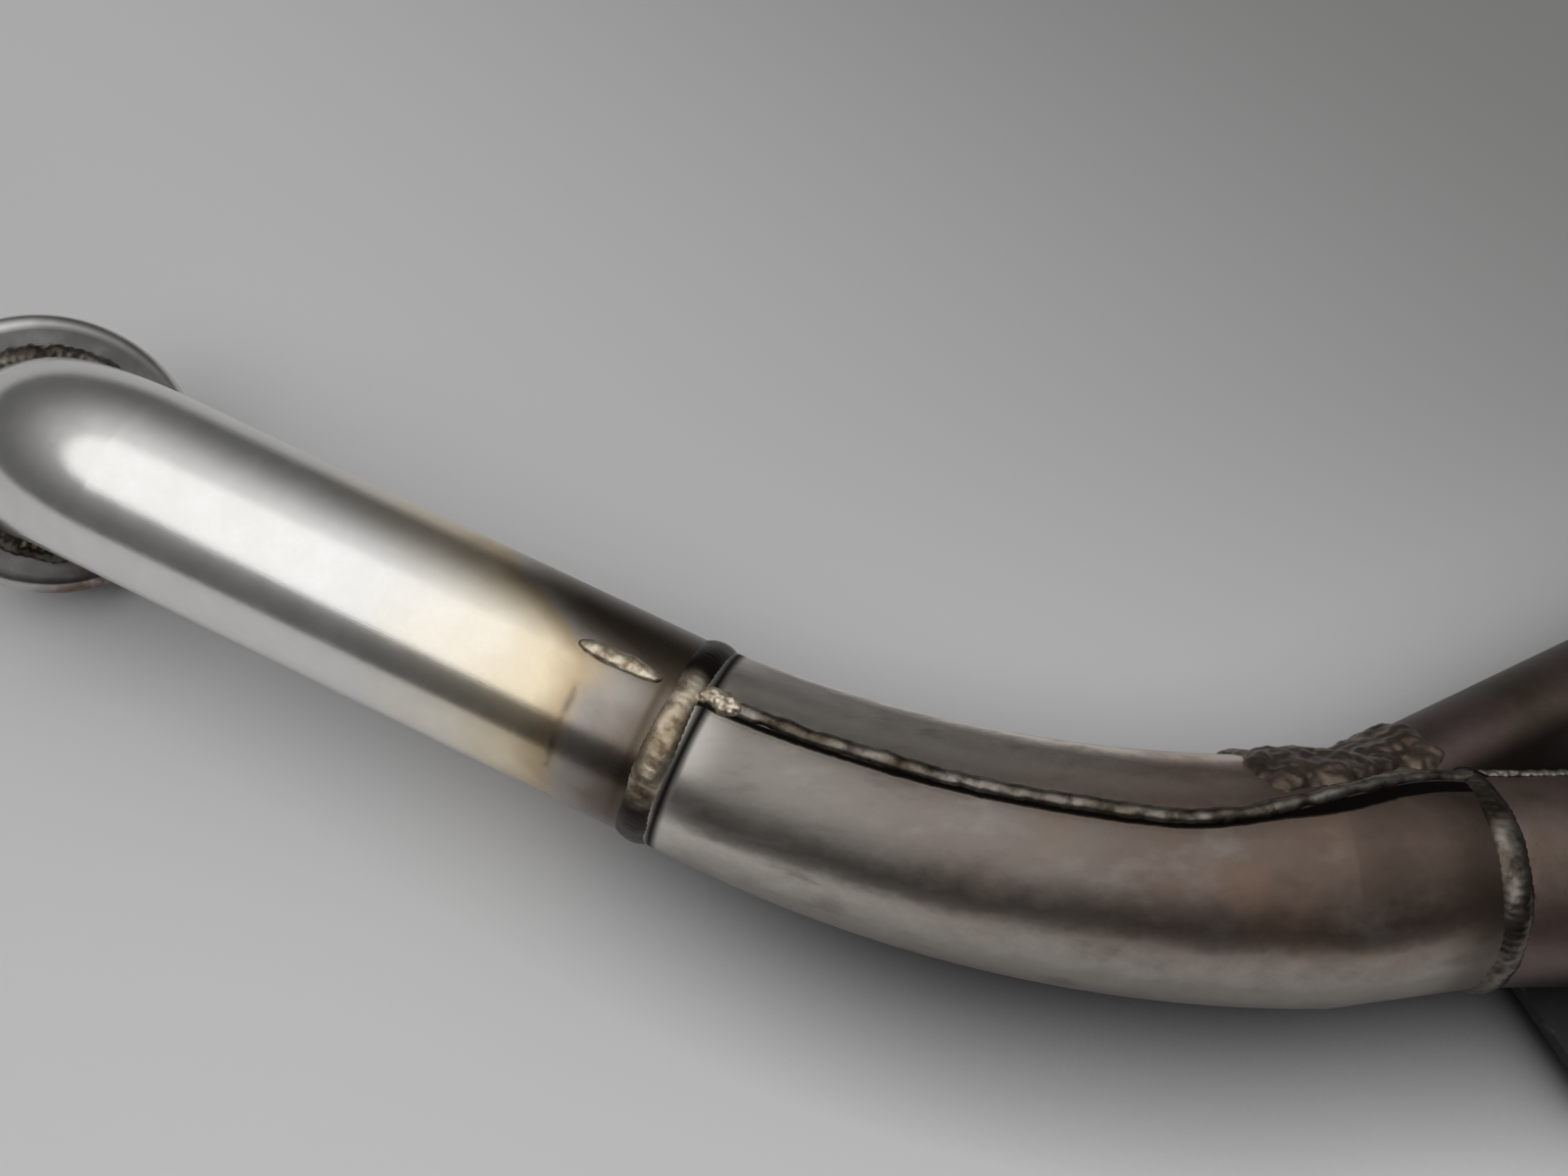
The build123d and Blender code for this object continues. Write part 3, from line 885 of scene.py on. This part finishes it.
crown_line = seam_line(1, drifts=1, wander=0.35, seed=1.5)
belly_line = seam_line(-1, drifts=0, wander=0.5, seed=6.5)
print("points of the crown seam:", len(crown_line))

# %% Long seams
SEAM_R = 1.45 * MM
SWELL_LENGTH = 5 * MM
SWELL = 0.22

for name, line, seed, node in (
    ("crown_seam_bead", crown_line, 2.0, "collector_top_seam_weld"),
    ("belly_seam_bead", belly_line, 9.0, "collector_bottom_seam_weld"),
):
    swells = [noise.noise(Vector((point.x / SWELL_LENGTH, seed, 1))) for point in line]
    seam = bar_bead(name, line, [SEAM_R * (1 + SWELL * swell) for swell in swells])
    lump(seam, size=2.4, height=0.2, seed=seed)
    ripple(seam, lambda point: point.x, pitch=1.2, height=0.08)
    dress(seam, weld_metal, node)

# %% [markdown]
# Two small mounds complete the welds near the inlet: a plug that closes a slot in the pipe, and
# the blob that the long seam starts with. Both get the bronze finish with its painted light, like
# the ring weld between them.

# %% Plug and start of the seam
PLUG_FROM_MOUTH = 13 * MM
PLUG_LEAN = math.radians(7)
START_FROM_MOUTH = 6.5 * MM

plug_up = upright(inlet_heading * -1)
plug_side = inlet_heading.cross(plug_up).normalized()
plug_normal = plug_up * math.cos(PLUG_LEAN) + plug_side * math.sin(PLUG_LEAN)
plug_place = mouth + inlet_heading * PLUG_FROM_MOUTH + plug_normal * PIPE_R
plug = ball_bead("inlet_plug_bead", plug_place, inlet_heading, plug_normal,
                 length=16, width=3.6, height=1.3)
lump(plug, size=5, height=0.3, seed=2)
dress(plug, bronze_weld, "inlet_plug_weld")

start_share = START_FROM_MOUTH / (BEND_R * bend_turn)
start_centre, start_heading = bend_point(start_share)
start_place = on_skin(start_centre, start_heading, bend_radius(start_share), 1, 1)
start_normal = (start_place - start_centre).normalized()
blob = ball_bead("seam_start_bead", start_place, start_heading, start_normal,
                 length=9, width=4.4, height=1.8)
lump(blob, size=4, height=0.7, seed=7)
dress(blob, bronze_weld, "seam_start_weld")

# %% [markdown]
# The rear branch is joined to the collector by a wide patch of weld, built up puddle by puddle.
# So is its copy here: balls of random size are laid on the metal where the welder worked, first
# round the collector and then round the branch. None goes inside a pipe, over the seam or down to
# the table. A voxel remesh melts them into one skin, and smoothing takes its steps away.

# %% Where the puddles lie
PATCH_LEAD = 10 * MM
PATCH_TRIM = 1.5 * MM
PATCH_NEAR = 8 * MM
PATCH_END = 34 * MM
PATCH_FLOOR = 6 * MM
BURIED = 0.5 * MM
COLLAR_OFF_SEAM = 4.6 * MM
SLEEVE_OFF_SEAM = 4.4 * MM
COLLAR_COLUMNS, COLLAR_ROWS, COLLAR_PITCH = 17, 15, 7.5
SLEEVE_COLUMNS, SLEEVE_ROWS, SLEEVE_PITCH, SLEEVE_FROM = 12, 22, 9, -95

scatter = random.Random(8)
puddles = []
for column in range(COLLAR_COLUMNS):
    share = column / (COLLAR_COLUMNS - 1)
    x = neck_start.x - PATCH_LEAD + (NECK_LENGTH + PATCH_LEAD - PATCH_TRIM) * share
    radius = neck_radius(x)
    edge = math.degrees(math.asin(min((seam_drift(x) + COLLAR_OFF_SEAM) / radius, 1)))
    for row in range(COLLAR_ROWS):
        angle = math.radians(edge + row * COLLAR_PITCH + scatter.uniform(-2, 2))
        normal = Vector((0, math.sin(angle), math.cos(angle)))
        spot = Vector((x + scatter.uniform(-1, 1) * MM, neck_end.y, neck_end.z)) + normal * radius
        ahead = (spot - rear_root).dot(rear_heading) > 0
        inside = ahead and off_axis(spot, rear_root, rear_heading) < REAR_R - BURIED
        if not inside and spot.z > PATCH_FLOOR:
            puddles.append((spot, normal, scatter.uniform(2.6, 4.6) * MM))
print("puddles round the collector:", len(puddles))

rear_side = rear_heading.cross(UP).normalized()
rear_top = rear_side.cross(rear_heading)
for column in range(SLEEVE_COLUMNS):
    run = PATCH_NEAR + (PATCH_END - PATCH_NEAR) * column / (SLEEVE_COLUMNS - 1)
    for row in range(SLEEVE_ROWS):
        angle = math.radians(SLEEVE_FROM + row * SLEEVE_PITCH + scatter.uniform(-3, 3))
        normal = rear_top * math.cos(angle) - rear_side * math.sin(angle)
        centre = rear_root + rear_heading * (run + scatter.uniform(-1, 1) * MM)
        spot = centre + normal * REAR_R
        inside = off_axis(spot, neck_end, front_heading) < neck_radius(spot.x) - BURIED
        over_seam = spot.y - neck_end.y < seam_drift(spot.x) + SLEEVE_OFF_SEAM
        if not inside and not over_seam and spot.z > PATCH_FLOOR:
            puddles.append((spot, normal, scatter.uniform(2.4, 4.2) * MM))
print("puddles in all:", len(puddles))

# %% The patch by the rear branch
PUDDLE_SINK = 0.6


def even_skin(piece, voxel, rounds):
    """One closed skin of even faces, smoothed that many times."""
    only(piece)
    even = piece.modifiers.new("even", "REMESH")
    even.mode = "VOXEL"
    even.voxel_size = voxel * MM
    bpy.ops.object.modifier_apply(modifier=even.name)
    soft = piece.modifiers.new("soft", "SMOOTH")
    soft.iterations = rounds
    bpy.ops.object.modifier_apply(modifier=soft.name)


balls = []
for spot, normal, radius in puddles:
    bpy.ops.mesh.primitive_ico_sphere_add(
        subdivisions=3, radius=radius, location=spot - normal * (radius * PUDDLE_SINK),
    )
    balls.append(bpy.context.object)
only(balls[0])
for ball in balls:
    ball.select_set(True)
bpy.ops.object.join()
patch = bpy.context.object
patch.name = "rear_branch_patch"
settle(patch)
even_skin(patch, voxel=0.5, rounds=8)
lump(patch, size=7, height=0.8, seed=4)
lump(patch, size=2.5, height=0.12, seed=6)
dress(patch, dark_weld, "rear_branch_weld")

# %% [markdown]
# The tab's weld and the seam of the front branch keep the frame's form. A copy of each is merged,
# remeshed evenly, and then made lumpy.

# %% Welds that keep the frame's form
for name, voxel, height, seed, material, slot, node in (
    ("mounting_tab_bead", 0.3, 0.5, 1, dark_weld, "dark_weld", "mounting_tab_weld"),
    ("front_seam_bead", 0.2, 0.3, 2, weld_metal, "weld_metal", "front_branch_seam_weld"),
):
    bead = merged_copy(node, name)
    even_skin(bead, voxel, rounds=3)
    lump(bead, size=3, height=height, seed=seed)
    dress(bead, material, node)

# %% [markdown]
# ## The table, the light and the camera
#
# The part lies on a pale table under one broad soft light. The table's colour carries a painted
# falloff of that light: lightest on the near side, darker to the far right. Close under the pipe's
# near side little light reaches it, so an Ambient Occlusion node, which measures how much sky a
# point sees, paints a deeper shadow into the table's colour there.

# %% Table
TABLE_DROP = 0.02 * MM
SHADOW_REACH = 34 * MM

bpy.ops.object.select_all(action="DESELECT")
bpy.ops.mesh.primitive_plane_add(size=6.0, location=(0, 0, -TABLE_DROP))
table = bpy.context.object
table.name = "table"


def table_skin(start):
    place = place_of(start)
    east, north = place.part(0), place.part(1)
    # Painted light: the table's colour falls off from the near side to the far right.
    painted_near_light = north.step(0.09, -0.11)
    painted_falloff = (east + north * 0.9).step(-0.06, 0.42)
    shade = painted_falloff.mix((0.80, 0.80, 0.81), (0.34, 0.34, 0.335))
    shade = (painted_near_light * 0.85).mix(shade, (0.98, 0.98, 0.985))
    behind_pipe = north - neck_end.y - (corner.x - east).largest(0.0) * math.tan(INLET_TURN)
    shadow_side = behind_pipe.step(0.012, -0.008) * east.step(-0.075, 0.030)
    # Painted shadow: ambient occlusion darkens the table's colour close under the pipe.
    open_sky = start.node("ShaderNodeAmbientOcclusion", outlet="AO", Distance=SHADOW_REACH)
    shade = (open_sky ** (0.35 + shadow_side * 1.65)).mix(BLACK, shade)
    grain = cloud(place, 1.2, detail=3) - 0.5
    roughness = 0.5 + grain * 0.1
    return shade.node("ShaderNodeBsdfPrincipled", Base_Color=shade, Roughness=roughness)


table.data.materials.append(finish("table_top", table_skin))
print("table at z", round(table.location.z / MM, 2), "mm")

# %% [markdown]
# Polished steel shows whatever is round it, so the sky itself is the light: bright overhead with
# a slow fall to dark grey at the horizon, and a wide patch of light high up on the near left. One
# low quarter is darker, as if someone stood there. The camera sees an even grey instead.

# %% Sky
LAMP_FROM = (-130, 72)
DARK_QUARTER = (150, 19.29)
LAMP_STRENGTH = 1.05
BACKDROP = 0.45


def direction(azimuth, elevation):
    """A unit vector from degrees. Azimuth 0 is +Y and 90 is +X."""
    azimuth, elevation = math.radians(azimuth), math.radians(elevation)
    level = math.cos(elevation)
    return Vector((math.sin(azimuth) * level, math.cos(azimuth) * level, math.sin(elevation)))


def studio_sky():
    world = bpy.data.worlds.new("studio_sky")
    world.use_nodes = True
    tree = world.node_tree
    tree.nodes.clear()
    start = Signal(tree)
    towards = start.node("ShaderNodeTexCoord", outlet="Generated")
    height = towards.part(2).largest(0.0)
    lamp = towards.vector("DOT_PRODUCT", direction(*LAMP_FROM), "Value").step(0.79, 0.87)
    shaded = towards.vector("DOT_PRODUCT", direction(*DARK_QUARTER), "Value").step(0.10, 0.80)
    base = (0.11 + (height ** 3.0) * 0.96) * (1 - shaded * 0.72)
    light = base + lamp * (LAMP_STRENGTH - base)
    seen = start.node("ShaderNodeLightPath", outlet="Is Camera Ray")
    strength = light + seen * (BACKDROP - light)
    shade = start.node("ShaderNodeBackground", Color=(*PLAIN, 1.0), Strength=strength)
    outlet = tree.nodes.new("ShaderNodeOutputWorld")
    tree.links.new(shade.socket, outlet.inputs["Surface"])
    return world


bpy.context.scene.world = studio_sky()
bpy.context.scene.view_settings.view_transform = "Standard"
print("sky:", bpy.context.scene.world.name)

# %% [markdown]
# The camera is held in the hand, close above the collector, and looks down steeply with a slight
# roll. Its focal length is written in pixels of a picture 1600 wide, as it was measured.

# %% Camera
EYE = Vector((-16.80, -110.34, 259.62)) * MM
AIM = (1.22, -61.365)
ROLL = math.radians(0.43)
SENSOR_WIDTH = 36.0
FOCAL_PIXELS = 1370.8
PICTURE_WIDTH = 1600

camera_data = bpy.data.cameras.new("camera")
camera_data.sensor_width = SENSOR_WIDTH
camera_data.lens = SENSOR_WIDTH * FOCAL_PIXELS / PICTURE_WIDTH
camera_data.clip_start = 0.01
camera = bpy.data.objects.new("camera", camera_data)
bpy.context.scene.collection.objects.link(camera)
camera.location = EYE
aim = direction(*AIM).to_track_quat("-Z", "Y")
camera.rotation_euler = (aim @ Quaternion((0, 0, 1), ROLL)).to_euler()
bpy.context.scene.camera = camera
print("camera", round(EYE.z / MM), "mm above the table")
